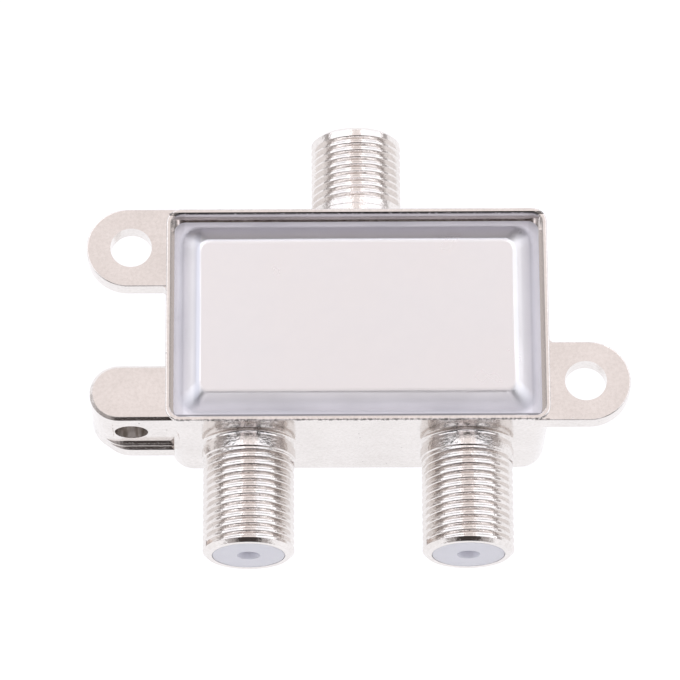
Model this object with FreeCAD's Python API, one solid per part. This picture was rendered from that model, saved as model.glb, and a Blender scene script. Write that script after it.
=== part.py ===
"""Two-way coaxial splitter: a nickel-plated zinc casting with three threaded ports,
a stamped cover sunk in its rim, two mounting ears, and an earthing lug with its screw.

Millimetres. X runs along the housing, the input port points to +Y, the two outputs to -Y.
Z = 0 is the flat label face that the splitter lies on, and the cover is on top.
"""
import FreeCAD
import Part
import math
import os
from FreeCAD import Vector

# Housing casting
housing_length = 39.0
housing_width = 23.2
housing_height = 15.0
rim_wall = 0.5
rim_outer_radius = 0.15
rim_inner_chamfer = 0.1
side_wall = 1.6
floor_thickness = 1.7
wall_draft_deg = 0.7
top_corner_radius = 1.5
bottom_corner_radius = 2.5
bottom_edge_radius = 0.5
recess_corner_radius = 1.1
cavity_corner_radius = 1.2

# Stamped cover
cover_sheet = 0.4
cover_gap = 0.3
cover_flange_depth = 1.7
cover_panel_depth = 0.45
cover_flange_width = 0.62
cover_slope_run = 1.9
cover_foot_radius = 1.9
cover_panel_radius = 1.2
cover_bend_radius = 0.9

# Mounting ears
ear_hole_reach = 3.6
ear_reach = 8.15
ear_radius = 4.25
ear_thickness = 2.0
ear_drop = 0.2
ear_edge_proud = 0.05
ear_hole_diameter = 4.25
ear_root_radius = 0.8
cast_edge_radius = 0.12

# Earthing lug
lug_reach = 7.65
lug_depth = 5.9
lug_front_setback = 0.2
lug_height = 8.6
lug_edge_chamfer = 0.3
lug_foot_height = 2.5
lug_foot_step = 0.4
lug_sole_height = 1.95
lug_sole_step = 0.3
lug_foot_embed = 0.75
wire_hole_reach = 3.5
wire_hole_drop = 3.6
wire_hole_diameter = 3.4

# Earthing screw
screw_diameter = 3.0
screw_pitch = 0.5
screw_thread_depth = 0.24
screw_thread_ease = 0.02
screw_length = 4.5
screw_head_diameter = 4.6
screw_head_height = 1.5
screw_head_edge_radius = 0.7
screw_slot_width = 0.9
screw_slot_depth = 0.8
screw_running_gap = 0.05
screw_tip_gap = 0.1
screw_tip_chamfer = 0.3

# Threaded ports
port_spacing = 22.3
port_axis_raise = 0.2
output_port_length = 11.9
input_port_length = 10.4
thread_diameter = 9.3
thread_pitch = 0.794
thread_depth = 0.42
thread_crest = 0.2
thread_ease = 0.07
thread_root = 0.12
thread_end_land = 0.32
neck_diameter = 9.1
neck_length = 0.75
neck_fillet = 0.35
band_diameter = 9.55
band_length = 1.05
mouth_chamfer = 0.38
mouth_chamfer_drop = 0.28
mouth_edge = 0.12
port_bore_diameter = 6.4

# Front insulators
insulator_diameter = 7.4
insulator_thickness = 2.2
insulator_gap = 0.02
insulator_edge_radius = 0.12
entry_diameter = 2.4
entry_cone_depth = 1.2
entry_throat_diameter = 1.5

# Rear insulator bushes
bush_gap = 0.02

# Contacts
contact_diameter = 2.2
contact_bore_diameter = 1.3
contact_slot_width = 0.4
contact_slot_length = 5.5
contact_bore_length = 6.5
contact_bore_wall = 0.7
tail_diameter = 0.9
tail_inside_length = 4.2
contact_gap = 0.02

# Circuit board and the posts that carry it
board_thickness = 1.6
board_edge_gap = 0.6
board_corner_radius = 0.8
post_diameter = 3.2
post_inset = 2.6
stake_diameter = 1.5
stake_height = 0.6
stake_gap = 0.1
post_embed = 0.5

# Transformers
lead_diameter = 0.5
winding_wire = 0.3
winding_gap = 0.08
winding_exit = 0.5
winding_bend = 0.18
winding_span_deg = 150.0
matching_headroom = 1.04
matching_core_bore = 2.0
matching_core_length = 3.0
matching_x = 0.0
transformer_gap = 2.7
matching_turns = 4
splitting_core_length = 5.6
splitting_core_width = 3.2
splitting_core_height = 3.4
splitting_bore = 1.5
splitting_bore_spacing = 2.9
splitting_x = 0.0
splitting_inset = 5.8
splitting_turns = 3
splitting_core_edge_radius = 0.4
core_standoff = 0.5
hole_gap = 0.1

# Resistor and capacitors
resistor_diameter = 1.8
resistor_length = 3.6
resistor_edge_radius = 0.35
resistor_span = 6.4
resistor_x = 8.6
resistor_y = 0.6
capacitor_diameter = 4.2
capacitor_thickness = 1.6
capacitor_edge_radius = 0.5
capacitor_lead_span = 2.5
capacitor_standoff = 0.6
capacitor_lead_embed = 0.6
input_capacitor_x = -7.4
input_capacitor_inset = 4.8
output_capacitor_inset = 6.2
lead_out = 1.0

# Solder
joint_radius = 0.75
joint_height = 0.6
joint_collar = 0.1
tail_joint_diameter = 1.8
tail_joint_inset = 1.4
tail_joint_height = 1.2
tail_joint_edge_radius = 0.3

# How far tools run past the faces they cut, and how closely an edge is found by its place
cut_margin = 0.1
find_margin = 0.01

# Heights and places that follow from the sizes above
half_length = housing_length / 2
half_width = housing_width / 2
wall_draft = housing_height * math.tan(math.radians(wall_draft_deg))
inner_width = housing_width - 2 * side_wall
inner_length = housing_length - 2 * side_wall
ledge_height = housing_height - cover_flange_depth - cover_sheet
panel_top = housing_height - cover_panel_depth
port_axis_height = housing_height / 2 + port_axis_raise
input_reach = half_width + input_port_length
output_reach = half_width + output_port_length
socket_length = contact_bore_length + contact_bore_wall
board_top = port_axis_height - tail_diameter / 2 - contact_gap
board_bottom = board_top - board_thickness
board_length = inner_length - 2 * board_edge_gap
board_width = inner_width - 2 * board_edge_gap
matching_core_room = panel_top - cover_sheet - board_top - core_standoff
matching_core_diameter = matching_core_room - matching_headroom - winding_gap - winding_wire
splitting_y = splitting_inset - board_width / 2
matching_y = splitting_y + splitting_core_width / 2 + transformer_gap + matching_core_length / 2
input_capacitor_y = board_width / 2 - input_capacitor_inset
output_capacitor_y = output_capacitor_inset - board_width / 2
ear_hole_x = half_length + ear_hole_reach
ear_centre_y = half_width - ear_radius + ear_edge_proud
ear_top = housing_height - ear_drop
lug_end = half_length + lug_reach
lug_front = half_width - lug_front_setback
lug_centre_y = -(lug_front - lug_depth / 2)
lug_bottom = ear_top - lug_height
wire_hole_x = half_length + wire_hole_reach
wire_hole_height = ear_top - wire_hole_drop
screw_tip = wire_hole_height - wire_hole_diameter / 2 - screw_tip_gap
screw_head_top = screw_tip - screw_length
thread_start = half_width + neck_length + band_length


def save(shape, name):
    shape.exportStep("parts/" + name + ".step")


def rounded_rectangle(size_x, size_y, radius, z):
    """Closed wire of four sides and four corner arcs, centred on the Z axis."""
    hx = size_x / 2
    hy = size_y / 2
    k = radius * (1 - math.sqrt(0.5))
    corners = ((1, -1), (1, 1), (-1, 1), (-1, -1))
    edges = []
    last = Vector(-hx + radius, -hy, z)
    for index, (sx, sy) in enumerate(corners):
        along_x = index % 2 == 0
        if along_x:
            begin = Vector(sx * (hx - radius), sy * hy, z)
            end = Vector(sx * hx, sy * (hy - radius), z)
        else:
            begin = Vector(sx * hx, sy * (hy - radius), z)
            end = Vector(sx * (hx - radius), sy * hy, z)
        middle = Vector(sx * (hx - k), sy * (hy - k), z)
        edges.append(Part.LineSegment(last, begin).toShape())
        edges.append(Part.Arc(begin, middle, end).toShape())
        last = end
    return Part.Wire(edges)


def rounded_block(size_x, size_y, radius, z_low, z_high):
    face = Part.Face(rounded_rectangle(size_x, size_y, radius, z_low))
    return face.extrude(Vector(0, 0, z_high - z_low))


def tapered_block(low, high):
    """Solid between two rounded rectangles, each given as x, y, corner radius and height."""
    return Part.makeLoft([rounded_rectangle(*low), rounded_rectangle(*high)], True, True)


def edges_at(shape, z):
    """Edges that lie wholly at one height."""
    found = []
    for edge in shape.Edges:
        box = edge.BoundBox
        if abs(box.ZMin - z) < find_margin and abs(box.ZMax - z) < find_margin:
            found.append(edge)
    return found


def stadium_outline(root_x, end_x, y_low, y_high, z):
    """Face that starts square at root_x and ends at end_x in a half circle."""
    side = 1 if end_x > root_x else -1
    radius = (y_high - y_low) / 2
    middle_y = (y_high + y_low) / 2
    centre_x = end_x - side * radius
    lower = Part.LineSegment(Vector(root_x, y_low, z), Vector(centre_x, y_low, z)).toShape()
    tip = Vector(end_x, middle_y, z)
    nose = Part.Arc(Vector(centre_x, y_low, z), tip, Vector(centre_x, y_high, z)).toShape()
    upper = Part.LineSegment(Vector(centre_x, y_high, z), Vector(root_x, y_high, z)).toShape()
    root = Part.LineSegment(Vector(root_x, y_high, z), Vector(root_x, y_low, z)).toShape()
    return Part.Face(Part.Wire([lower, nose, upper, root]))


def root_fillet(wall_x, edge_y, direction_x, direction_y, radius, z, height):
    """Concave corner filler between a wall along Y and an edge along X."""
    corner = Vector(wall_x, edge_y, z)
    on_wall = Vector(wall_x, edge_y + direction_y * radius, z)
    on_edge = Vector(wall_x + direction_x * radius, edge_y, z)
    k = radius * (1 - math.sqrt(0.5))
    middle = Vector(wall_x + direction_x * k, edge_y + direction_y * k, z)
    sides = [
        Part.LineSegment(corner, on_edge).toShape(),
        Part.Arc(on_edge, middle, on_wall).toShape(),
        Part.LineSegment(on_wall, corner).toShape(),
    ]
    return Part.Face(Part.Wire(sides)).extrude(Vector(0, 0, height))


def ear(side):
    """Mounting ear with its hole; side -1 is the left one, at the input end."""
    y_centre = -side * ear_centre_y
    root_x = side * (half_length - side_wall)
    end_x = side * (half_length + ear_reach)
    z = ear_top - ear_thickness
    face = stadium_outline(root_x, end_x, y_centre - ear_radius, y_centre + ear_radius, z)
    plate = face.extrude(Vector(0, 0, ear_thickness))
    plate = plate.makeFillet(cast_edge_radius, edges_at(plate, ear_top))
    wall_x = side * (half_length - wall_draft * ear_drop / housing_height)
    inner_edge = y_centre + side * ear_radius
    filler = root_fillet(wall_x - side * cut_margin, inner_edge - side * cut_margin, side, side,
                         ear_root_radius, z, ear_thickness - cast_edge_radius)
    hole = Part.makeCylinder(ear_hole_diameter / 2, ear_thickness, Vector(side * ear_hole_x, y_centre, z))
    return plate.fuse(filler).cut(hole)


def lug():
    """Earthing lug: a block with a rounded end on a foot that flares out in two sloping steps."""
    y_back = lug_centre_y + lug_depth / 2
    y_front = lug_centre_y - lug_depth / 2
    outline = stadium_outline(-(half_length - side_wall), -lug_end, y_front, y_back, lug_bottom)
    block = outline.extrude(Vector(0, 0, lug_height))
    body = block.makeChamfer(lug_edge_chamfer, edges_at(block, ear_top))
    flare = 0
    for height, step in ((lug_foot_height, lug_foot_step), (lug_sole_height, lug_sole_step)):
        flare += step
        outline = stadium_outline(-(half_length - lug_foot_embed), flare - lug_end, y_front - flare, y_back,
                                  lug_bottom)
        tier = outline.extrude(Vector(0, 0, height))
        body = body.fuse(tier.makeChamfer(step, edges_at(tier, lug_bottom + height)))
    wire_hole = Part.makeCylinder(wire_hole_diameter / 2, housing_width,
                                  Vector(-wire_hole_x, -housing_width, wire_hole_height), Vector(0, 1, 0))
    screw_hole = Part.makeCylinder(screw_diameter / 2 + screw_running_gap, wire_hole_height - lug_bottom,
                                   Vector(-wire_hole_x, lug_centre_y, lug_bottom))
    return body.cut([wire_hole, screw_hole])


def helical_groove(radius, pitch, depth, crest, root, ease, z_low, z_high):
    """Solid swept along a helix, to cut an outside thread with flat crests and eased edges."""
    half_root = root / 2
    half_top = (pitch - crest) / 2
    outline = [
        (radius + cut_margin, half_top + cut_margin),
        (radius - ease, half_top - ease),
        (radius - depth, half_root),
    ]
    points = [Vector(r, 0, z) for r, z in outline]
    points += [Vector(r, 0, -z) for r, z in reversed(outline)]
    sides = []
    for index, point in enumerate(points):
        sides.append(Part.LineSegment(points[index - 1], point).toShape())
    sweep = Part.BRepOffsetAPI.MakePipeShell(Part.Wire(Part.makeHelix(pitch, z_high - z_low, radius)))
    sweep.setFrenetMode(True)
    sweep.add(Part.Wire(sides))
    sweep.build()
    sweep.makeSolid()
    groove = sweep.shape()
    groove.translate(Vector(0, 0, z_low))
    return groove


def threaded_barrel(reach):
    """Band, thread and mouth of a port, standing on Z from the housing's middle plane."""
    r = thread_diameter / 2
    end_radius = r - mouth_chamfer_drop
    profile = [
        Vector(0, 0, thread_start - band_length),
        Vector(band_diameter / 2, 0, thread_start - band_length),
        Vector(band_diameter / 2, 0, thread_start - (band_diameter - thread_diameter) / 2),
        Vector(r, 0, thread_start),
        Vector(r, 0, reach - mouth_chamfer),
        Vector(end_radius, 0, reach - mouth_edge),
        Vector(end_radius - mouth_edge, 0, reach),
        Vector(0, 0, reach),
    ]
    outline = Part.Face(Part.makePolygon(profile + [profile[0]]))
    blank = outline.revolve(Vector(0, 0, 0), Vector(0, 0, 1), 360)
    groove = helical_groove(r, thread_pitch, thread_depth, thread_crest, thread_root, thread_ease,
                            thread_start + thread_end_land, reach - mouth_chamfer - thread_end_land)
    return blank.cut(groove)


def port_places():
    """Name, X, direction along Y and reach of each port."""
    return (
        ("input", 0.0, 1, input_reach),
        ("left_output", -port_spacing / 2, -1, output_reach),
        ("right_output", port_spacing / 2, -1, output_reach),
    )


def aim_port(shape, x, direction):
    """Turn a shape that stands on Z so that it points along a port's axis."""
    placed = shape.copy()
    placed.rotate(Vector(0, 0, 0), Vector(1, 0, 0), -90 * direction)
    placed.translate(Vector(x, 0, port_axis_height))
    return placed


def post_places():
    """X and Y of the four posts under the circuit board."""
    x = board_length / 2 - post_inset
    y = board_width / 2 - post_inset
    return [(sx * x, sy * y) for sx in (-1, 1) for sy in (-1, 1)]


def housing():
    shell = tapered_block(
        (housing_length - 2 * wall_draft, housing_width - 2 * wall_draft, bottom_corner_radius, 0),
        (housing_length, housing_width, top_corner_radius, housing_height),
    )
    shell = shell.makeFillet(bottom_edge_radius, edges_at(shell, 0))
    shell = shell.makeFillet(rim_outer_radius, edges_at(shell, housing_height))
    necks = []
    for name, x, direction, reach in port_places():
        neck = Part.makeCylinder(neck_diameter / 2, neck_length + side_wall,
                                 Vector(0, 0, half_width - side_wall))
        necks.append(aim_port(neck, x, direction))
    shell = shell.fuse(necks)
    rings = []
    for edge in shell.Edges:
        box = edge.BoundBox
        on_wall = half_width - wall_draft <= abs(box.Center.y) < half_width + neck_length / 2
        if on_wall and abs(box.XLength - neck_diameter) < find_margin:
            rings.append(edge)
    shell = shell.makeFillet(neck_fillet, rings)
    shell = shell.fuse([ear(-1), ear(1), lug()])
    inner_x = housing_length - 2 * rim_wall
    inner_y = housing_width - 2 * rim_wall
    recess = rounded_block(inner_x, inner_y, recess_corner_radius, ledge_height, housing_height)
    mouth = tapered_block(
        (inner_x, inner_y, recess_corner_radius, housing_height - rim_inner_chamfer),
        (inner_x + 2 * rim_inner_chamfer, inner_y + 2 * rim_inner_chamfer,
         recess_corner_radius + rim_inner_chamfer, housing_height),
    )
    cavity = rounded_block(inner_length, inner_width, cavity_corner_radius, floor_thickness, housing_height)
    shell = shell.cut([recess, mouth, cavity])
    for x, y in post_places():
        post = Part.makeCylinder(post_diameter / 2, board_bottom - floor_thickness + post_embed,
                                 Vector(x, y, floor_thickness - post_embed))
        stake = Part.makeCylinder(stake_diameter / 2, board_thickness + stake_height + post_embed,
                                  Vector(x, y, board_bottom - post_embed))
        shell = shell.fuse([post, stake])
    barrels = {}
    for name, x, direction, reach in port_places():
        if reach not in barrels:
            barrels[reach] = threaded_barrel(reach)
        shell = shell.fuse(aim_port(barrels[reach], x, direction))
        bore = Part.makeCylinder(port_bore_diameter / 2, reach, Vector(0, 0, half_width - 2 * side_wall))
        seat = Part.makeCylinder(insulator_diameter / 2 + insulator_gap, insulator_thickness,
                                 Vector(0, 0, reach - insulator_thickness))
        shell = shell.cut([aim_port(bore, x, direction), aim_port(seat, x, direction)])
    return shell


def rear_cover():
    """Pressed sheet with a flat flange, sloping sides and a raised flat panel."""
    flange_x = housing_length - 2 * rim_wall - 2 * cover_gap
    flange_y = housing_width - 2 * rim_wall - 2 * cover_gap
    foot_x = flange_x - 2 * cover_flange_width
    foot_y = flange_y - 2 * cover_flange_width
    panel_x = foot_x - 2 * cover_slope_run
    panel_y = foot_y - 2 * cover_slope_run
    flange_top = housing_height - cover_flange_depth
    rise = panel_top - flange_top
    flange = rounded_block(flange_x, flange_y, recess_corner_radius, ledge_height, flange_top)
    dome = tapered_block((foot_x, foot_y, cover_foot_radius, flange_top),
                         (panel_x, panel_y, cover_panel_radius, panel_top))
    body = flange.fuse(dome)
    slope = math.atan2(rise, cover_slope_run)
    inset = cover_sheet * math.tan(slope / 2)
    run_out = cover_sheet / math.tan(slope)
    hollow = tapered_block(
        (foot_x + 2 * (run_out - inset) - 2 * inset, foot_y + 2 * (run_out - inset) - 2 * inset,
         cover_foot_radius, flange_top - 2 * cover_sheet),
        (panel_x - 2 * inset, panel_y - 2 * inset, cover_panel_radius, panel_top - cover_sheet))
    body = body.cut(hollow)
    bends = edges_at(body, panel_top)
    feet = []
    for edge in edges_at(body, flange_top):
        box = edge.BoundBox
        if box.XMax < foot_x / 2 + find_margin and box.YMax < foot_y / 2 + find_margin:
            if box.XMin > -foot_x / 2 - find_margin and box.YMin > -foot_y / 2 - find_margin:
                feet.append(edge)
    return body.makeFillet(cover_bend_radius, bends + feet)


def front_insulator(reach):
    r = insulator_diameter / 2
    back = reach - insulator_thickness
    disc = Part.makeCylinder(r, insulator_thickness, Vector(0, 0, back))
    disc = disc.makeFillet(insulator_edge_radius, edges_at(disc, reach))
    throat = Part.makeCylinder(entry_throat_diameter / 2, insulator_thickness, Vector(0, 0, back))
    cone = Part.makeCone(entry_throat_diameter / 2, entry_diameter / 2, entry_cone_depth,
                         Vector(0, 0, reach - entry_cone_depth))
    return disc.cut([throat, cone])


def contact_shoulder(reach):
    """Where a contact's socket stands on its bush, from the housing's middle plane."""
    return reach - insulator_thickness - socket_length


def rear_bush(reach):
    r = port_bore_diameter / 2 - bush_gap
    start = half_width - side_wall
    length = contact_shoulder(reach) - start
    bush = Part.makeCylinder(r, length, Vector(0, 0, start))
    hole = Part.makeCylinder(tail_diameter / 2 + contact_gap, length, Vector(0, 0, start))
    return bush.cut(hole)


def contact(reach):
    """Slotted spring socket with a round tail that reaches in over the board."""
    r = contact_diameter / 2
    shoulder = contact_shoulder(reach)
    front = shoulder + socket_length
    socket = Part.makeCylinder(r, socket_length, Vector(0, 0, shoulder))
    bore = Part.makeCylinder(contact_bore_diameter / 2, contact_bore_length,
                             Vector(0, 0, front - contact_bore_length))
    slot = Part.makeBox(contact_slot_width, contact_diameter, contact_slot_length,
                        Vector(-contact_slot_width / 2, -r, front - contact_slot_length))
    inner_end = half_width - side_wall - tail_inside_length
    tail = Part.makeCylinder(tail_diameter / 2, shoulder - inner_end, Vector(0, 0, inner_end))
    return socket.cut([bore, slot]).fuse(tail)


def lead_holes():
    """X, Y and hole diameter of every drilled hole for a lead."""
    thin = winding_wire + 2 * hole_gap
    thick = lead_diameter + 2 * hole_gap
    places = []
    for x, y in matching_ends() + splitting_ends():
        places.append((x, y, thin))
    for x, y in resistor_ends() + capacitor_ends():
        places.append((x, y, thick))
    return places


def circuit_board():
    board = rounded_block(board_length, board_width, board_corner_radius, board_bottom, board_top)
    tools = []
    for x, y in post_places():
        stake_hole_radius = stake_diameter / 2 + stake_gap
        tools.append(Part.makeCylinder(stake_hole_radius, board_thickness, Vector(x, y, board_bottom)))
    for x, y, diameter in lead_holes():
        tools.append(Part.makeCylinder(diameter / 2, board_thickness, Vector(x, y, board_bottom)))
    return board.cut(tools)


def wire_along(points, diameter, bend):
    """Round wire along straight runs joined by tangent arcs."""
    edges = []
    start = points[0]
    for index in range(1, len(points) - 1):
        corner = points[index]
        before = (points[index - 1] - corner).normalize()
        after = (points[index + 1] - corner).normalize()
        half_angle = before.getAngle(after) / 2
        setback = bend / math.tan(half_angle)
        first = corner + before * setback
        last = corner + after * setback
        bisector = (before + after).normalize()
        middle = corner + bisector * (bend / math.sin(half_angle) - bend)
        if (first - start).Length > 0.001:
            edges.append(Part.LineSegment(start, first).toShape())
        edges.append(Part.Arc(first, middle, last).toShape())
        start = last
    edges.append(Part.LineSegment(start, points[-1]).toShape())
    path = Part.Wire(edges)
    heading = (points[1] - points[0]).normalize()
    section = Part.Wire(Part.makeCircle(diameter / 2, points[0], heading))
    return path.makePipeShell([section], True, False, 2)


def matching_sides():
    """Y of the wire's centre in front of the ring and behind it."""
    offset = matching_core_length / 2 + winding_gap + winding_wire / 2
    return matching_y - offset, matching_y + offset


def matching_ends():
    """Where the matching transformer's wire goes through the board."""
    y_low, y_high = matching_sides()
    reach = matching_core_diameter / 2 + winding_gap + winding_wire + winding_exit
    return [(matching_x - reach, y_low), (matching_x + reach, y_high)]


def splitting_ends():
    """Where the splitting transformer's wire goes through the board."""
    reach = splitting_core_width / 2 + winding_gap + winding_wire + winding_exit
    half = splitting_bore_spacing / 2 - winding_exit
    return [(splitting_x - half, splitting_y - reach), (splitting_x + half, splitting_y - reach)]


def resistor_ends():
    return [(resistor_x, resistor_y + sign * resistor_span / 2) for sign in (-1, 1)]


def capacitor_places():
    """Name, X, Y and axis of each coupling capacitor; the leads stand apart along the axis."""
    return (
        ("input_capacitor", input_capacitor_x, input_capacitor_y, "x"),
        ("left_output_capacitor", -port_spacing / 2, output_capacitor_y, "y"),
        ("right_output_capacitor", port_spacing / 2, output_capacitor_y, "y"),
    )


def capacitor_ends():
    ends = []
    for name, x, y, axis in capacitor_places():
        for sign in (-1, 1):
            step = sign * capacitor_lead_span / 2
            ends.append((x + step, y) if axis == "x" else (x, y + step))
    return ends


def lead_bottom():
    return board_bottom - lead_out


def matching_core():
    """Ferrite ring that stands on its edge."""
    z = board_top + core_standoff + matching_core_diameter / 2
    y = matching_y - matching_core_length / 2
    base = Vector(matching_x, y, z)
    ring = Part.makeCylinder(matching_core_diameter / 2, matching_core_length, base, Vector(0, 1, 0))
    bore = Part.makeCylinder(matching_core_bore / 2, matching_core_length, base, Vector(0, 1, 0))
    return ring.cut(bore)


def matching_winding():
    """One enamelled wire, threaded through the ring and round its rim."""
    z = board_top + core_standoff + matching_core_diameter / 2
    outer = matching_core_diameter / 2 + winding_gap + winding_wire / 2
    inner = matching_core_bore / 2 - winding_gap - winding_wire / 2
    y_low, y_high = matching_sides()
    ends = matching_ends()
    points = [
        Vector(ends[0][0], ends[0][1], lead_bottom()),
        Vector(ends[0][0], ends[0][1], z),
    ]
    span = math.radians(winding_span_deg)
    for turn in range(matching_turns):
        share = turn / (matching_turns - 1)
        angle = math.pi - (math.pi - span) / 2 - span * share
        direction = Vector(math.cos(angle), 0, math.sin(angle))
        centre = Vector(matching_x, 0, z)
        near_in = centre + direction * inner + Vector(0, y_low, 0)
        far_in = centre + direction * inner + Vector(0, y_high, 0)
        far_out = centre + direction * outer + Vector(0, y_high, 0)
        near_out = centre + direction * outer + Vector(0, y_low, 0)
        points += [near_in, far_in, far_out]
        if turn < matching_turns - 1:
            points.append(near_out)
    points += [
        Vector(ends[1][0], y_high, z),
        Vector(ends[1][0], y_high, lead_bottom()),
    ]
    return wire_along(points, winding_wire, winding_bend)


def splitting_core():
    """Ferrite block with two bores."""
    low = Vector(splitting_x - splitting_core_length / 2, splitting_y - splitting_core_width / 2,
                 board_top + core_standoff)
    block = Part.makeBox(splitting_core_length, splitting_core_width, splitting_core_height, low)
    block = block.makeFillet(splitting_core_edge_radius, block.Edges)
    bores = []
    for sign in (-1, 1):
        base = low + Vector(splitting_core_length / 2 + sign * splitting_bore_spacing / 2, 0,
                            splitting_core_height / 2)
        bores.append(Part.makeCylinder(splitting_bore / 2, splitting_core_width, base, Vector(0, 1, 0)))
    return block.cut(bores)


def splitting_winding():
    """One enamelled wire that loops through both bores of the block."""
    z_middle = board_top + core_standoff + splitting_core_height / 2
    y_low = splitting_y - splitting_core_width / 2 - winding_gap - winding_wire / 2
    y_high = splitting_y + splitting_core_width / 2 + winding_gap + winding_wire / 2
    left = splitting_x - splitting_bore_spacing / 2
    right = splitting_x + splitting_bore_spacing / 2
    step = winding_wire + winding_gap
    ends = splitting_ends()
    first_z = z_middle - step * (splitting_turns - 1) / 2
    points = [
        Vector(ends[0][0], ends[0][1], lead_bottom()),
        Vector(ends[0][0], ends[0][1], first_z),
        Vector(left, y_low, first_z),
    ]
    for turn in range(splitting_turns):
        z = first_z + step * turn
        if turn > 0:
            points.append(Vector(left, y_low, z))
        points += [Vector(left, y_high, z), Vector(right, y_high, z)]
        if turn < splitting_turns - 1:
            points.append(Vector(right, y_low, z))
    points += [
        Vector(right, y_low - step, first_z + step * (splitting_turns - 1)),
        Vector(ends[1][0], ends[1][1], first_z + step * (splitting_turns - 1)),
        Vector(ends[1][0], ends[1][1], lead_bottom()),
    ]
    return wire_along(points, winding_wire, winding_bend)


def round_edges(shape):
    return [edge for edge in shape.Edges if edge.Curve.TypeId == "Part::GeomCircle"]


def resistor_body():
    z = board_top + resistor_diameter / 2
    start = Vector(resistor_x, resistor_y - resistor_length / 2, z)
    body = Part.makeCylinder(resistor_diameter / 2, resistor_length, start, Vector(0, 1, 0))
    return body.makeFillet(resistor_edge_radius, round_edges(body))


def resistor_leads():
    z = board_top + resistor_diameter / 2
    leads = []
    for sign in (-1, 1):
        points = [
            Vector(resistor_x, resistor_y + sign * resistor_length / 2, z),
            Vector(resistor_x, resistor_y + sign * resistor_span / 2, z),
            Vector(resistor_x, resistor_y + sign * resistor_span / 2, lead_bottom()),
        ]
        leads.append(wire_along(points, lead_diameter, lead_diameter))
    return Part.makeCompound(leads)


def capacitor_body(x, y, axis):
    """Dipped ceramic disc that stands on edge above the board."""
    z = board_top + capacitor_standoff + capacitor_diameter / 2
    along = Vector(0, 1, 0) if axis == "x" else Vector(1, 0, 0)
    base = Vector(x, y, z) - along * (capacitor_thickness / 2)
    disc = Part.makeCylinder(capacitor_diameter / 2, capacitor_thickness, base, along)
    return disc.makeFillet(capacitor_edge_radius, round_edges(disc))


def capacitor_leads():
    """Straight leads whose tops are bonded against the discs' lower rims."""
    leads = []
    half_span = capacitor_lead_span / 2
    rim_z = board_top + capacitor_standoff + capacitor_diameter / 2 - math.sqrt(
        (capacitor_diameter / 2) ** 2 - half_span ** 2)
    for x, y in capacitor_ends():
        start = Vector(x, y, lead_bottom())
        length = rim_z - lead_bottom() + capacitor_lead_embed
        leads.append(Part.makeCylinder(lead_diameter / 2, length, start))
    return leads


def solder_joints():
    """Cones round the leads under the board, and a bead over each contact's tail."""
    joints = []
    for x, y, diameter in lead_holes():
        lead_radius = diameter / 2 - hole_gap
        base = Vector(x, y, board_bottom - joint_height)
        cone = Part.makeCone(lead_radius + joint_collar, joint_radius, joint_height, base)
        joints.append(cone.cut(Part.makeCylinder(lead_radius, joint_height, base)))
    tail_end = half_width - side_wall - tail_inside_length
    for name, x, direction, reach in port_places():
        y = direction * (tail_end + tail_joint_inset)
        bead = Part.makeCylinder(tail_joint_diameter / 2, tail_joint_height, Vector(x, y, board_top))
        bead = bead.makeFillet(tail_joint_edge_radius, edges_at(bead, board_top + tail_joint_height))
        tail = Part.makeCylinder(tail_diameter / 2, housing_width, Vector(x, 0, port_axis_height),
                                 Vector(0, direction, 0))
        joints.append(bead.cut(tail))
    return Part.makeCompound(joints)


def ground_screw():
    """Slotted pan-head screw that enters the lug from below, backed off from the wire hole."""
    r = screw_diameter / 2
    profile = [
        Vector(0, 0, 0),
        Vector(r, 0, 0),
        Vector(r, 0, screw_length - screw_tip_chamfer),
        Vector(r - screw_tip_chamfer, 0, screw_length),
        Vector(0, 0, screw_length),
    ]
    outline = Part.Face(Part.makePolygon(profile + [profile[0]]))
    shank = outline.revolve(Vector(0, 0, 0), Vector(0, 0, 1), 360)
    crest = screw_pitch / 8
    root = screw_pitch / 4
    groove = helical_groove(r, screw_pitch, screw_thread_depth, crest, root, screw_thread_ease,
                            screw_pitch, screw_length - screw_tip_chamfer - screw_pitch / 2)
    shank = shank.cut(groove)
    head = Part.makeCylinder(screw_head_diameter / 2, screw_head_height, Vector(0, 0, -screw_head_height))
    head = head.makeFillet(screw_head_edge_radius, edges_at(head, -screw_head_height))
    slot = Part.makeBox(screw_head_diameter, screw_slot_width, screw_slot_depth,
                        Vector(-screw_head_diameter / 2, -screw_slot_width / 2, -screw_head_height))
    screw = head.cut(slot).fuse(shank)
    screw.translate(Vector(-wire_hole_x, lug_centre_y, screw_head_top))
    return screw


def main():
    os.makedirs("parts", exist_ok=True)
    save(housing(), "housing")
    save(rear_cover(), "rear_cover")
    for name, x, direction, reach in port_places():
        save(aim_port(front_insulator(reach), x, direction), name + "_front_insulator")
        save(aim_port(rear_bush(reach), x, direction), name + "_rear_bush")
        save(aim_port(contact(reach), x, direction), name + "_contact")
    save(circuit_board(), "circuit_board")
    save(matching_core(), "matching_transformer_core")
    save(matching_winding(), "matching_transformer_winding")
    save(splitting_core(), "splitting_transformer_core")
    save(splitting_winding(), "splitting_transformer_winding")
    save(resistor_body(), "isolation_resistor")
    save(resistor_leads(), "isolation_resistor_leads")
    leads = capacitor_leads()
    for name, x, y, axis in capacitor_places():
        save(capacitor_body(x, y, axis).cut(leads), name)
    save(Part.makeCompound(leads), "capacitor_leads")
    save(solder_joints(), "solder_joints")
    save(ground_screw(), "ground_screw")


main()
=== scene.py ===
"""Looks of a two-way coaxial splitter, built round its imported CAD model."""

import math

import bmesh
import bpy
from bpy.props import FloatProperty, FloatVectorProperty, PointerProperty
from mathutils import Matrix, Vector

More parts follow.
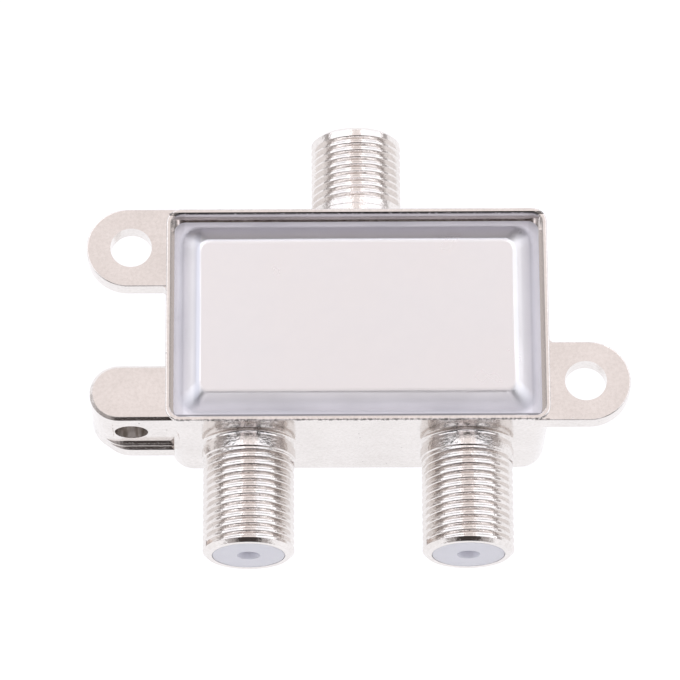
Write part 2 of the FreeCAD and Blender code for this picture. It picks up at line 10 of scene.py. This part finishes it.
bl_info = {
    "name": "Coaxial splitter",
    "version": (1, 0, 0),
    "blender": (4, 5, 0),
    "location": "3D View > Sidebar > Splitter",
    "description": "Finishes a coaxial splitter and sets it in a studio",
    "category": "Object",
}

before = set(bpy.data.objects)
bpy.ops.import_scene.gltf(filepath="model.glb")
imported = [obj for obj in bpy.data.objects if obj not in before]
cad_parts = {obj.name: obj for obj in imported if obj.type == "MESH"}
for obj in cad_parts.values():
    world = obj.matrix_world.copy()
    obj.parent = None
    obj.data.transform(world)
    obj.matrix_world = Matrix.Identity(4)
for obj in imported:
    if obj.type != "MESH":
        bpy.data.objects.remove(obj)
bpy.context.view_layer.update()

PORTS = ("input", "left_output", "right_output")
TRANSFORMERS = ("matching_transformer", "splitting_transformer")

# The camera was fitted to the photo: its place in metres, and the three ways it is turned
CAMERA_PLACE = (-0.00333, -0.18091, 0.46583)
CAMERA_RIGHT = (0.999984, -0.005473, 0.001288)
CAMERA_UP = (0.004618, 0.930132, 0.367191)
CAMERA_BACK = (-0.003208, -0.367179, 0.930145)
SENSOR_WIDTH = 36.0
CLIP_START = 0.01

# The soft lights hang round the splitter, in metres
LAMP_PLACES = {
    "left": (-0.62, 0.25, 0.64),
    "right": (0.64, 0.25, 0.62),
    "back": (0.0, 0.87, 0.5),
}
LAMP_COLOUR = (0.94, 0.95, 1.0)

# The floor lies a hair under the label face, so that the two don't flicker
FLOOR_DROP = 0.00005
PAPER_GLOW = (0.98, 0.975, 1.0, 1.0)
PAPER_SHADES = ((0.11, 0.11, 0.11), (0.13, 0.13, 0.13))
PAPER_CLOUD = 0.2

# The room that the metal mirrors. Each span is the part of a direction over which one colour
# turns into the next: along Y from front to back, along Z from level to upright, and sideways.
FRONT_WALL = (0.055, 0.045, 0.043)
BACK_WALL = (0.76, 0.76, 0.83)
WALL_SPAN = (-0.75, 0.2)
FRONT_CEILING = (1.2, 1.16, 1.22)
BACK_CEILING = (0.97, 0.90, 0.89)
CEILING_SPAN = (-0.5, 0.1)
WALL_TO_CEILING = (0.42, 0.78)
LOW_SIDE = (0.46, 0.43, 0.43)
HIGH_SIDE = (0.06, 0.06, 0.065)
SIDE_SPAN = (0.36, 0.48)
MIDDLE_TO_SIDE = (0.26, 0.4)

# The dark camera that the flat metal mirrors: an oval, soft at its edge
LENS_HOOD = (0.03, 0.02, 0.018)
HOOD_SQUASH = (0.6, 1.0, 1.0)
HOOD_SPAN = (0.16, 0.11)

# A noise mostly stays in this range
NOISE_LOW = 0.3
NOISE_HIGH = 0.7

# Widths of the finishes' patterns, as multiples of the size that they go with
PIT_CELL_TO_PIT = 14
FLOW_TO_GRAIN = 1.5
CLOUD_TO_GRAIN = 12

# The plate's tone is part slow ripple and part fine grain
RIPPLE_SHARE = 0.4
GRAIN_SHARE = 0.6


def node_box(name):
    """Lowest and highest corner of a CAD node at rest."""
    axes = list(zip(*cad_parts[name].bound_box))
    return Vector([min(axis) for axis in axes]), Vector([max(axis) for axis in axes])


def casting_places():
    """Boxes round the parts of the casting whose plate looks different: painted shade in the gap round
    the cover and along the rim's inner edges, painted light on the far rim wall, painted highlights and
    reflections in the wire hole, and rougher relief on the lug and the right ear.

    Each is set off, in metres, from the pieces beside it: the rim and the gap from the cover,
    and the earthing lug from its screw.
    """
    top = node_box("housing")[1].z
    low, high = node_box("rear_cover")
    screw_low, screw_high = node_box("ground_screw")
    lug = (screw_low + screw_high) / 2.0
    tip = screw_high.z
    lug_reach = (lug.x - 0.007, low.x - 0.0006)
    return {
        "cover_gap": {
            "X": (low.x - 0.00032, high.x + 0.00032),
            "Y": (low.y - 0.00032, high.y - 0.0008),
            "Z": (low.z - 0.0001, low.z + 0.00005)},
        "far_rim_edge_shade": {
            "X": (low.x - 0.0005, high.x + 0.0005),
            "Y": (high.y + 0.00005, high.y + 0.0004),
            "Z": (top - 0.0004, top + 0.0001)},
        "near_rim_edge_shade": {
            "X": (low.x - 0.0008, high.x + 0.0008),
            "Y": (low.y - 0.001, low.y - 0.00065),
            "Z": (top - 0.00025, top + 0.0001)},
        "lit_far_rim_wall": {
            "X": (low.x - 0.0004, high.x + 0.0004),
            "Y": (high.y - 0.0001, high.y + 0.0005),
            "Z": (top - 0.0023, top - 0.0003)},
        "lug_foot": {
            "X": lug_reach,
            "Y": (lug.y - 0.00455, lug.y + 0.00345),
            "Z": (tip - 0.0034, tip - 0.0002)},
        "lug_edge": {
            "X": lug_reach,
            "Y": (lug.y - 0.01155, lug.y + 0.00845),
            "Z": (top - 0.00055, top - 0.00021)},
        "wire_hole": {
            "X": (lug.x - 0.0019, lug.x + 0.0019),
            "Y": (lug.y - 0.00288, lug.y + 0.00293),
            "Z": (tip - 0.0001, tip + 0.0037)},
        "right_ear": {
            "X": (high.x + 0.0009, high.x + 0.0113),
            "Y": (low.y - 0.0022, 0.0)},
    }


def colour_property(name, description, default):
    return FloatVectorProperty(
        name=name, description=description, default=default,
        subtype="COLOR", size=3, min=0.0, max=1.0)


def share_property(name, description, default):
    return FloatProperty(
        name=name, description=description, default=default,
        subtype="FACTOR", min=0.0, max=1.0)


def length_property(name, description, default):
    return FloatProperty(
        name=name, description=description, default=default,
        subtype="DISTANCE", unit="LENGTH", min=0.0, precision=5)


def glow_property(name, description, default):
    return FloatProperty(name=name, description=description, default=default, min=0.0)


class SplitterColours(bpy.types.PropertyGroup):
    """Colours and gloss of the splitter's finishes."""
    plating: colour_property("Plating", "Nickel plate on the casting", (0.845, 0.812, 0.79))
    plating_roughness: share_property("Plating roughness", "Blur of the casting's reflections", 0.12)
    cover: colour_property("Cover", "Tinned sheet of the cover's panel", (0.80, 0.79, 0.80))
    cover_edge: colour_property("Cover edge", "Tinned sheet of the cover's flange", (0.79, 0.79, 0.85))
    cover_roughness: share_property("Cover roughness", "Blur of the cover's reflections", 0.30)
    insulator: colour_property("Insulator", "Plastic discs in the ports", (0.84, 0.845, 0.91))
    bush: colour_property("Bush", "Plastic bushes behind the contacts", (0.80, 0.79, 0.74))
    contact: colour_property("Contact", "Tinned brass of the contacts", (0.80, 0.72, 0.55))
    laminate: colour_property("Laminate", "Face of the circuit board", (0.42, 0.27, 0.10))
    ferrite: colour_property("Ferrite", "Cores of the transformers", (0.035, 0.036, 0.040))
    enamel: colour_property("Enamel", "Varnished copper of the windings", (0.52, 0.14, 0.035))
    resistor: colour_property("Resistor", "Coat of the resistor", (0.55, 0.40, 0.22))
    capacitor: colour_property("Capacitor", "Coat of the capacitors", (0.55, 0.19, 0.035))
    solder: colour_property("Solder", "Joints and tinned leads", (0.62, 0.63, 0.64))
    screw: colour_property("Screw", "Zinc plate of the earthing screw", (0.70, 0.71, 0.73))


class SplitterSizes(bpy.types.PropertyGroup):
    """Sizes of the grain in the finishes and of the studio."""
    cast_grain: length_property("Cast grain", "Width of the casting's fine grain", 0.00035)
    cast_pit: length_property("Cast pit", "Radius of the casting's scattered pits", 0.0001)
    cast_ripple: length_property("Cast ripple", "Width of the casting's slow ripples", 0.004)
    rolling_grain: length_property("Rolling grain", "Width of the sheet's rolling lines", 0.00012)
    floor_reach: length_property("Floor reach", "Half the width of the floor", 1.5)
    lamp_length: length_property("Lamp length", "Long side of each soft light", 1.35)
    left_lamp_width: length_property("Left lamp width", "Short side of the left soft light", 0.84)
    right_lamp_width: length_property("Right lamp width", "Short side of the right soft light", 0.84)
    back_lamp_width: length_property("Back lamp width", "Short side of the soft light behind", 0.12)
    lamp_glow: glow_property("Lamp glow", "Brightness of each soft light", 1.3)
    table_glow: glow_property("Table glow", "Brightness of the light table under the splitter", 0.98)
    lens: FloatProperty(
        name="Lens", description="Focal length of the camera", default=252.77,
        subtype="DISTANCE_CAMERA", unit="CAMERA", min=1.0)


class NodeTree:
    """Short calls for the few nodes that the finishes and the room share."""

    def __init__(self, owner, coordinates):
        owner.use_nodes = True
        self.nodes = owner.node_tree.nodes
        self.links = owner.node_tree.links
        self.place = self.nodes.new("ShaderNodeTexCoord").outputs[coordinates]

    def plug(self, value, socket):
        """Link an output to a socket, or set the socket to a constant."""
        if isinstance(value, bpy.types.NodeSocket):
            self.links.new(value, socket)
        else:
            socket.default_value = value

    def maths(self, operation, first, second=0.0):
        node = self.nodes.new("ShaderNodeMath")
        node.operation = operation
        for socket, value in zip(node.inputs, (first, second)):
            self.plug(value, socket)
        return node.outputs["Value"]

    def axis(self, name):
        split = self.nodes.new("ShaderNodeSeparateXYZ")
        self.links.new(self.place, split.inputs["Vector"])
        return split.outputs[name]

    def distance(self, name):
        """How far a point is from the middle along an axis, to either side."""
        return self.maths("ABSOLUTE", self.axis(name))

    def between(self, value, low, high):
        """1 where the value lies between two bounds, and 0 outside."""
        above = self.maths("GREATER_THAN", value, low)
        return self.maths("MULTIPLY", above, self.maths("LESS_THAN", value, high))

    def inside(self, **ranges):
        """1 in the box with these ranges along X, Y and Z, and 0 outside."""
        result = 1.0
        for name, (low, high) in ranges.items():
            result = self.maths("MULTIPLY", self.between(self.axis(name), low, high), result)
        return result

    def spread(self, value, low, high, to_low, to_high, smooth=False):
        """The value mapped from one range to another, held at the ends."""
        node = self.nodes.new("ShaderNodeMapRange")
        if smooth:
            node.interpolation_type = "SMOOTHSTEP"
        ends = (("From Min", low), ("From Max", high), ("To Min", to_low), ("To Max", to_high))
        for socket, number in ends:
            node.inputs[socket].default_value = number
        self.links.new(value, node.inputs["Value"])
        return node.outputs["Result"]

    def rise(self, value, low, high, top=1.0):
        """A share that rises from 0 to its top between two bounds."""
        return self.spread(value, low, high, 0.0, top)

    def fall(self, value, low, high):
        """A share that falls from 1 to 0 between two bounds."""
        return self.spread(value, low, high, 1.0, 0.0)

    def ease(self, value, start, end):
        """A share that rises softly from 0 to 1 between two bounds."""
        return self.spread(value, start, end, 0.0, 1.0, smooth=True)

    def waver(self, share, value, least, most):
        """A value that wavers with a noise between two shares of itself."""
        return self.spread(share, NOISE_LOW, NOISE_HIGH, value * least, value * most)

    def blend(self, share, first, second):
        """One colour turned into another by a share from 0 to 1."""
        node = self.nodes.new("ShaderNodeMix")
        node.data_type = "RGBA"
        self.links.new(share, node.inputs["Factor"])
        ends = [socket for socket in node.inputs if socket.type == "RGBA"]
        for socket, colour in zip(ends, (first, second)):
            self.plug(colour if isinstance(colour, bpy.types.NodeSocket) else (*colour[:3], 1.0), socket)
        return next(socket for socket in node.outputs if socket.type == "RGBA")

    def vector(self, operation, first, second=None):
        node = self.nodes.new("ShaderNodeVectorMath")
        node.operation = operation
        self.plug(first, node.inputs[0])
        if second:
            self.plug(second, node.inputs[1])
        return node.outputs["Value" if operation == "LENGTH" else "Vector"]

    def towards(self, direction, squash, span):
        """A share that rises from 0 to 1 as a direction comes near the given one, in an oval."""
        away = self.vector("MULTIPLY", self.vector("SUBTRACT", self.place, direction), squash)
        return self.ease(self.vector("LENGTH", away), *span)


class Finish(NodeTree):
    """A node material with short calls for grain, spots, shades and relief."""

    def __init__(self, name):
        self.material = bpy.data.materials.new(name)
        super().__init__(self.material, "Object")
        self.shader = self.nodes["Principled BSDF"]

    def set(self, **values):
        for socket, value in values.items():
            self.shader.inputs[socket.replace("_", " ")].default_value = value

    def feed(self, socket, output):
        self.links.new(output, self.shader.inputs[socket])

    def stretched(self, x, y, z):
        """Coordinates that are scaled apart along the axes, for lines and streaks."""
        mapping = self.nodes.new("ShaderNodeMapping")
        mapping.inputs["Scale"].default_value = (x, y, z)
        self.links.new(self.place, mapping.inputs["Vector"])
        return mapping.outputs["Vector"]

    def noise(self, width, detail=2.0, roughness=0.5, place=None):
        node = self.nodes.new("ShaderNodeTexNoise")
        node.inputs["Scale"].default_value = 1.0 / width
        node.inputs["Detail"].default_value = detail
        node.inputs["Roughness"].default_value = roughness
        self.links.new(place or self.place, node.inputs["Vector"])
        return node.outputs["Fac"]

    def spots(self, width, radius, share):
        """Round spots: 1 in the middle of some of the cells that are that wide, and 0 outside."""
        node = self.nodes.new("ShaderNodeTexVoronoi")
        node.inputs["Scale"].default_value = 1.0 / width
        self.links.new(self.place, node.inputs["Vector"])
        chance = self.nodes.new("ShaderNodeSeparateColor")
        self.links.new(node.outputs["Color"], chance.inputs["Color"])
        reach = radius / width
        disc = self.fall(node.outputs["Distance"], reach / 2.0, reach)
        return self.maths("MULTIPLY", disc, self.maths("LESS_THAN", chance.outputs["Red"], share))

    def mottle(self, share, colour, least, most):
        """A colour that wavers with a noise between two tints of itself."""
        return self.blend(share, tinted(colour, least), tinted(colour, most))

    def shade(self, mask, under, colour, factor):
        """What lies under a mask, turned into a tint of the colour where the mask is 1."""
        return self.blend(mask, under, tinted(colour, factor))

    def bump(self, height, depth, strength=1.0, after=None):
        node = self.nodes.new("ShaderNodeBump")
        node.inputs["Distance"].default_value = depth
        node.inputs["Strength"].default_value = strength
        self.links.new(height, node.inputs["Height"])
        if after:
            self.links.new(after, node.inputs["Normal"])
        return node.outputs["Normal"]


def tinted(colour, factor, shift=(0.0, 0.0, 0.0)):
    return tuple(min(1.0, max(0.0, c * factor + s)) for c, s in zip(colour[:3], shift))


def dress(names, finish):
    """Give CAD nodes a finish of their own."""
    for name in names:
        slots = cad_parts[name].data.materials
        slots.clear()
        slots.append(finish.material)


def plated_casting(colours, sizes):
    """Nickel plate on a casting: rippled, grained and pitted, and rough in the wire hole, with painted
    shade in the gap round the cover and along the rim's inner edges, painted light on the far rim wall,
    and painted highlights and reflections in the wire hole.
    """
    finish = Finish("plated casting")
    places = casting_places()
    ripple = finish.noise(sizes.cast_ripple, detail=3.0)
    grain = finish.noise(sizes.cast_grain, detail=4.0, roughness=0.6)
    pits = finish.spots(sizes.cast_pit * PIT_CELL_TO_PIT, sizes.cast_pit, share=0.5)
    wire_hole = finish.inside(**places["wire_hole"])
    finish.set(Metallic=1.0)

    tone = finish.maths("ADD", finish.maths("MULTIPLY", ripple, RIPPLE_SHARE),
                        finish.maths("MULTIPLY", grain, GRAIN_SHARE))
    dull_plate = tinted(colours.plating, 0.9, shift=(0.0, -0.005, -0.01))
    plate = finish.blend(finish.rise(tone, 0.35, 0.65), tinted(colours.plating, 1.03), dull_plate)
    pitted = finish.shade(pits, plate, colours.plating, factor=0.45)
    # Painted light: the far rim wall and its ledge are lightened to lift the shade that falls there.
    far_wall_lit = finish.shade(finish.inside(**places["lit_far_rim_wall"]), pitted, colours.plating, factor=1.12)
    # Painted highlights and reflections streak the wire hole.
    hole_glinted = finish.blend(wire_hole, far_wall_lit, painted_hole_glints(finish, colours.plating))
    # Painted shade: the ledge in the gap round the cover is darkened where shade falls between the
    # parts.
    gap_shaded = finish.shade(finish.inside(**places["cover_gap"]), hole_glinted, colours.plating, factor=0.6)
    # Painted shade along the rim's inner edges, broken up by a noise.
    rim_shade = painted_rim_shade(finish, places, sizes.cast_grain)
    finish.feed("Base Color", finish.shade(rim_shade, gap_shaded, colours.plating, factor=0.2))

    uneven = finish.waver(grain, colours.plating_roughness, least=0.75, most=1.3)
    finish.feed("Roughness", finish.maths("ADD", uneven, finish.maths("MULTIPLY", wire_hole, 0.3)))

    waves = finish.bump(ripple, depth=0.0001, strength=0.12)
    hollows = finish.bump(pits, depth=-0.00003, strength=0.5, after=waves)
    flowed = rough_lug(finish, places, sizes.cast_grain, hollows)
    lumpy = lumpy_patches(finish, places, sizes.cast_grain, flowed)
    finish.feed("Normal", finish.bump(grain, depth=0.00002, strength=0.3, after=lumpy))
    return finish


def painted_hole_glints(finish, plating):
    """Painted highlights and reflections: pale and brown streaks along the bore for the earthing wire.
    """
    along = finish.stretched(1.0, 0.3, 1.0)
    streaks = finish.rise(finish.noise(0.0007, detail=3.0, place=along), 0.4, 0.6)
    dark_reflection = tinted(plating, 0.6, shift=(0.0, -0.03, -0.06))
    return finish.blend(streaks, dark_reflection, tinted(plating, 1.12))


def painted_rim_shade(finish, places, grain_width):
    """Painted shade: a dark, broken line on the rim's far inner edge, and a fainter one on its near
    edge.
    """
    breakup = finish.noise(grain_width, detail=4.0, roughness=0.7)
    far_shade_line = finish.maths(
        "MULTIPLY", finish.inside(**places["far_rim_edge_shade"]), finish.rise(breakup, 0.36, 0.46))
    near_shade_line = finish.maths(
        "MULTIPLY", finish.inside(**places["near_rim_edge_shade"]), finish.rise(breakup, 0.47, 0.56, top=0.7))
    return finish.maths("ADD", far_shade_line, near_shade_line)


def rough_lug(finish, places, grain_width, relief):
    """The coarse skin of the earthing lug's foot and upper edge, on the relief so far."""
    flow = finish.noise(grain_width * FLOW_TO_GRAIN, detail=4.0, roughness=0.65)
    for place in ("lug_foot", "lug_edge"):
        skin = finish.maths("MULTIPLY", finish.inside(**places[place]), flow)
        relief = finish.bump(skin, depth=0.00005, after=relief)
    return relief


def lumpy_patches(finish, places, grain_width, relief):
    """Lumps on the barrels, deeper on the necks and shallower on the right ear, on the relief so far."""
    wall = node_box("rear_cover")[1].y
    barrels = finish.maths("GREATER_THAN", finish.distance("Y"), wall + 0.0014)
    necks = finish.between(finish.distance("Y"), wall + 0.00085, wall + 0.0038)
    ear = finish.maths("MULTIPLY", finish.inside(**places["right_ear"]), 0.5)
    patches = finish.maths("ADD", barrels, finish.maths("ADD", necks, ear))
    lumps = finish.maths("MULTIPLY", patches, finish.noise(grain_width, detail=3.0, roughness=0.6))
    return finish.bump(lumps, depth=0.00002, after=relief)


def tinned_sheet(colours, sizes):
    """Tinned sheet with faint rolling lines and clouds, bluer and rougher outside its panel, with
    painted shade on its left bend and a painted shadow along its near edge.
    """
    finish = Finish("tinned sheet")
    low, high = node_box("rear_cover")
    cloud = finish.noise(0.006, detail=3.0, roughness=0.55)
    lines = finish.noise(sizes.rolling_grain, place=finish.stretched(1.0, 0.02, 1.0))
    grain = finish.noise(0.0004, detail=3.0, roughness=0.6)
    panel = finish.rise(finish.axis("Z"), low.z + 0.0005, high.z - 0.00025)
    finish.set(Metallic=1.0)

    sheet = finish.blend(panel, colours.cover_edge, colours.cover)
    dull_sheet = finish.blend(panel, tinted(colours.cover_edge, 0.95), tinted(colours.cover, 0.95))
    cloudy = finish.blend(finish.rise(cloud, NOISE_LOW, NOISE_HIGH), sheet, dull_sheet)
    scuffed = finish.shade(scuffs(finish), cloudy, colours.cover_edge, factor=0.55)
    # Painted shade on the left bend, dimming the highlight that the bend would mirror.
    bend_shaded = finish.shade(left_bend_shade(finish, low), scuffed, colours.cover_edge, factor=0.8)
    # The side flanges are made darker.
    side_flanges = finish.rise(finish.distance("X"), high.x - 0.0011, high.x - 0.0009)
    flanks_darkened = finish.shade(side_flanges, bend_shaded, colours.cover_edge, factor=0.87)
    # Painted shadow: the flange's near edge is darkened where the rim shades it.
    near_edge_shadow = finish.fall(finish.axis("Y"), low.y + 0.00042, low.y + 0.00052)
    finish.feed("Base Color", finish.shade(near_edge_shadow, flanks_darkened, colours.cover_edge, factor=0.35))

    uneven = finish.waver(cloud, colours.cover_roughness, least=0.9, most=1.15)
    finish.feed("Roughness", finish.maths("MULTIPLY", uneven, finish.spread(panel, 0.0, 1.0, 1.6, 1.0)))

    waves = finish.bump(cloud, depth=0.00015, strength=0.12)
    rolled = finish.bump(lines, depth=0.00001, strength=0.12, after=waves)
    finish.feed("Normal", finish.bump(grain, depth=0.00002, strength=0.15, after=rolled))
    return finish


def scuffs(finish):
    """A few small dark scuffs, drawn out along Y."""
    fibres = finish.noise(0.0002, detail=3.0, roughness=0.6, place=finish.stretched(1.0, 0.4, 1.0))
    spots = finish.spots(width=0.005, radius=0.0004, share=0.45)
    return finish.maths("MULTIPLY", spots, finish.rise(fibres, 0.45, 0.6, top=0.6))


def left_bend_shade(finish, low):
    """Painted shade on the upper part of the cover's left slope, where it bends into the panel, dimming
    the bend's highlight.
    """
    outer = finish.rise(finish.axis("X"), low.x + 0.0019, low.x + 0.0023)
    inner = finish.fall(finish.axis("X"), low.x + 0.0026, low.x + 0.0028)
    upper = finish.rise(finish.axis("Z"), low.z + 0.0007, low.z + 0.001)
    return finish.maths("MULTIPLY", outer, finish.maths("MULTIPLY", inner, upper))


def moulded_plastic(name, colour, grain=0.0003, roughness=0.5, see_in=0.0006):
    finish = Finish(name)
    cloud = finish.noise(0.002)
    fine = finish.noise(grain, detail=3.0, roughness=0.6)
    finish.set(Subsurface_Weight=0.25, Subsurface_Radius=(see_in, see_in, see_in), Subsurface_Scale=1.0)
    finish.feed("Base Color", finish.mottle(cloud, colour, least=0.97, most=1.03))
    finish.feed("Roughness", finish.waver(fine, roughness, least=0.85, most=1.15))
    finish.feed("Normal", finish.bump(fine, depth=0.00001, strength=0.3))
    return finish


def worked_metal(name, colour, roughness, grain=0.0003, depth=0.00001):
    finish = Finish(name)
    cloud = finish.noise(grain * CLOUD_TO_GRAIN, detail=3.0)
    fine = finish.noise(grain, detail=3.0, roughness=0.6)
    finish.set(Metallic=1.0)
    finish.feed("Base Color", finish.mottle(cloud, colour, least=0.9, most=1.08))
    finish.feed("Roughness", finish.waver(cloud, roughness, least=0.8, most=1.25))
    finish.feed("Normal", finish.bump(fine, depth=depth, strength=0.4))
    return finish


def dipped_coat(name, colour, roughness=0.35):
    finish = Finish(name)
    cloud = finish.noise(0.0015, detail=3.0)
    peel = finish.noise(0.0006)
    finish.set(Coat_Weight=0.3, Coat_Roughness=0.2)
    finish.feed("Base Color", finish.mottle(cloud, colour, least=0.85, most=1.1))
    finish.feed("Roughness", finish.waver(cloud, roughness, least=0.85, most=1.2))
    finish.feed("Normal", finish.bump(peel, depth=0.00006, strength=0.4))
    return finish


def woven_laminate(name, colour):
    finish = Finish(name)
    weave = finish.noise(0.0002, place=finish.stretched(1.0, 0.15, 1.0))
    finish.set(Coat_Weight=0.15)
    finish.feed("Base Color", finish.mottle(weave, colour, least=0.85, most=1.15))
    finish.feed("Roughness", finish.spread(weave, NOISE_LOW, NOISE_HIGH, to_low=0.5, to_high=0.65))
    finish.feed("Normal", finish.bump(weave, depth=0.00002, strength=0.3))
    return finish


class SPLITTER_OT_casting(bpy.types.Operator):
    """Plate the housing"""
    bl_idname = "splitter.casting"
    bl_label = "Housing"

    def execute(self, context):
        scene = context.scene
        dress(["housing"], plated_casting(scene.splitter_colours, scene.splitter_sizes))
        return {"FINISHED"}


class SPLITTER_OT_cover(bpy.types.Operator):
    """Tin the pressed cover"""
    bl_idname = "splitter.cover"
    bl_label = "Cover"

    def execute(self, context):
        scene = context.scene
        dress(["rear_cover"], tinned_sheet(scene.splitter_colours, scene.splitter_sizes))
        return {"FINISHED"}


class SPLITTER_OT_ports(bpy.types.Operator):
    """Colour the plastic and the contacts inside the ports"""
    bl_idname = "splitter.ports"
    bl_label = "Ports"

    def execute(self, context):
        colours = context.scene.splitter_colours
        dress([port + "_front_insulator" for port in PORTS],
              moulded_plastic("insulator plastic", colours.insulator))
        dress([port + "_rear_bush" for port in PORTS],
              moulded_plastic("bush plastic", colours.bush))
        dress([port + "_contact" for port in PORTS],
              worked_metal("tinned brass", colours.contact, roughness=0.3))
        return {"FINISHED"}


class SPLITTER_OT_board(bpy.types.Operator):
    """Finish the circuit board and what stands on it"""
    bl_idname = "splitter.board"
    bl_label = "Board"

    def execute(self, context):
        colours = context.scene.splitter_colours
        dress(["circuit_board"], woven_laminate("board laminate", colours.laminate))
        dress([transformer + "_core" for transformer in TRANSFORMERS],
              moulded_plastic("ferrite", colours.ferrite, grain=0.00025, roughness=0.6, see_in=0.0))
        dress([transformer + "_winding" for transformer in TRANSFORMERS],
              worked_metal("enamelled copper", colours.enamel, roughness=0.25))
        dress(["isolation_resistor"], dipped_coat("resistor coat", colours.resistor))
        dress([port + "_capacitor" for port in PORTS],
              dipped_coat("capacitor coat", colours.capacitor))
        dress(["capacitor_leads", "isolation_resistor_leads"],
              worked_metal("tinned wire", colours.solder, roughness=0.28, grain=0.0002))
        dress(["solder_joints"],
              worked_metal("solder", colours.solder, roughness=0.35, grain=0.0005, depth=0.00003))
        return {"FINISHED"}


class SPLITTER_OT_screw(bpy.types.Operator):
    """Plate the earthing screw"""
    bl_idname = "splitter.screw"
    bl_label = "Earthing screw"

    def execute(self, context):
        colours = context.scene.splitter_colours
        dress(["ground_screw"],
              worked_metal("zinc plate", colours.screw, roughness=0.3, grain=0.0002))
        return {"FINISHED"}


class SPLITTER_OT_studio(bpy.types.Operator):
    """Lay the floor, hang the soft lights and aim the camera"""
    bl_idname = "splitter.studio"
    bl_label = "Studio"

    def floor(self, context, reach, glow):
        mesh = bpy.data.meshes.new("studio_floor")
        shape = bmesh.new()
        bmesh.ops.create_grid(shape, x_segments=1, y_segments=1, size=reach)
        shape.to_mesh(mesh)
        shape.free()
        floor = bpy.data.objects.new("studio_floor", mesh)
        floor.location.z = -FLOOR_DROP
        context.collection.objects.link(floor)
        paper = Finish("studio paper")
        paper.set(Roughness=0.9, Specular_IOR_Level=0.1,
                  Emission_Color=PAPER_GLOW, Emission_Strength=glow)
        paper.feed("Base Color", paper.blend(paper.noise(PAPER_CLOUD), *PAPER_SHADES))
        mesh.materials.append(paper.material)

    def lamp(self, context, name, place, length, width, glow):
        """Hang a soft light that looks at the splitter; its glow is its brightness per area."""
        light = bpy.data.lights.new(name, "AREA")
        light.shape = "RECTANGLE"
        light.size = length
        light.size_y = width
        light.color = LAMP_COLOUR
        light.energy = glow * math.pi * width * length
        lamp = bpy.data.objects.new(name, light)
        context.collection.objects.link(lamp)
        lamp.location = place
        lamp.rotation_euler = (-Vector(place)).to_track_quat("-Z", "Y").to_euler()

    def room(self, context):
        """The room that the metal mirrors: a pale ceiling, a grey wall behind, and dark in front."""
        world = bpy.data.worlds.new("studio_room")
        tree = NodeTree(world, "Generated")
        walls = tree.blend(tree.ease(tree.axis("Y"), *WALL_SPAN), FRONT_WALL, BACK_WALL)
        ceiling = tree.blend(tree.ease(tree.axis("Y"), *CEILING_SPAN), FRONT_CEILING, BACK_CEILING)
        middle = tree.blend(tree.ease(tree.axis("Z"), *WALL_TO_CEILING), walls, ceiling)
        sides = tree.blend(tree.ease(tree.axis("Z"), *SIDE_SPAN), LOW_SIDE, HIGH_SIDE)
        sky = tree.blend(tree.ease(tree.distance("X"), *MIDDLE_TO_SIDE), middle, sides)
        hood = tree.towards(CAMERA_BACK, HOOD_SQUASH, HOOD_SPAN)
        tree.links.new(tree.blend(hood, sky, LENS_HOOD), tree.nodes["Background"].inputs["Color"])
        context.scene.world = world

    def camera(self, context, lens):
        data = bpy.data.cameras.new("photo_camera")
        data.lens = lens
        data.sensor_width = SENSOR_WIDTH
        data.clip_start = CLIP_START
        camera = bpy.data.objects.new("photo_camera", data)
        context.collection.objects.link(camera)
        turn = Matrix((CAMERA_RIGHT, CAMERA_UP, CAMERA_BACK)).transposed().to_4x4()
        camera.matrix_world = Matrix.Translation(CAMERA_PLACE) @ turn
        context.scene.camera = camera

    def execute(self, context):
        sizes = context.scene.splitter_sizes
        self.floor(context, sizes.floor_reach, sizes.table_glow)
        for side, place in LAMP_PLACES.items():
            width = getattr(sizes, side + "_lamp_width")
            self.lamp(context, side + "_soft_light", place, sizes.lamp_length, width, sizes.lamp_glow)
        self.room(context)
        self.camera(context, sizes.lens)
        context.scene.view_settings.view_transform = "Standard"
        return {"FINISHED"}


OPERATORS = (
    SPLITTER_OT_casting,
    SPLITTER_OT_cover,
    SPLITTER_OT_ports,
    SPLITTER_OT_board,
    SPLITTER_OT_screw,
    SPLITTER_OT_studio,
)


class SPLITTER_PT_sidebar(bpy.types.Panel):
    """Buttons and settings of the coaxial splitter"""
    bl_idname = "SPLITTER_PT_sidebar"
    bl_label = "Coaxial splitter"
    bl_space_type = "VIEW_3D"
    bl_region_type = "UI"
    bl_category = "Splitter"

    def draw(self, context):
        for operator in OPERATORS:
            self.layout.operator(operator.bl_idname)
        for group in (context.scene.splitter_colours, context.scene.splitter_sizes):
            box = self.layout.box()
            for name in group.bl_rna.properties.keys():
                if name not in ("rna_type", "name"):
                    box.prop(group, name)


CLASSES = (SplitterColours, SplitterSizes, *OPERATORS, SPLITTER_PT_sidebar)


def register():
    for cls in CLASSES:
        bpy.utils.register_class(cls)
    bpy.types.Scene.splitter_colours = PointerProperty(type=SplitterColours)
    bpy.types.Scene.splitter_sizes = PointerProperty(type=SplitterSizes)


def unregister():
    del bpy.types.Scene.splitter_sizes
    del bpy.types.Scene.splitter_colours
    for cls in reversed(CLASSES):
        bpy.utils.unregister_class(cls)


def main():
    register()
    bpy.ops.splitter.casting()
    bpy.ops.splitter.cover()
    bpy.ops.splitter.ports()
    bpy.ops.splitter.board()
    bpy.ops.splitter.screw()
    bpy.ops.splitter.studio()


if __name__ == "__main__":
    main()
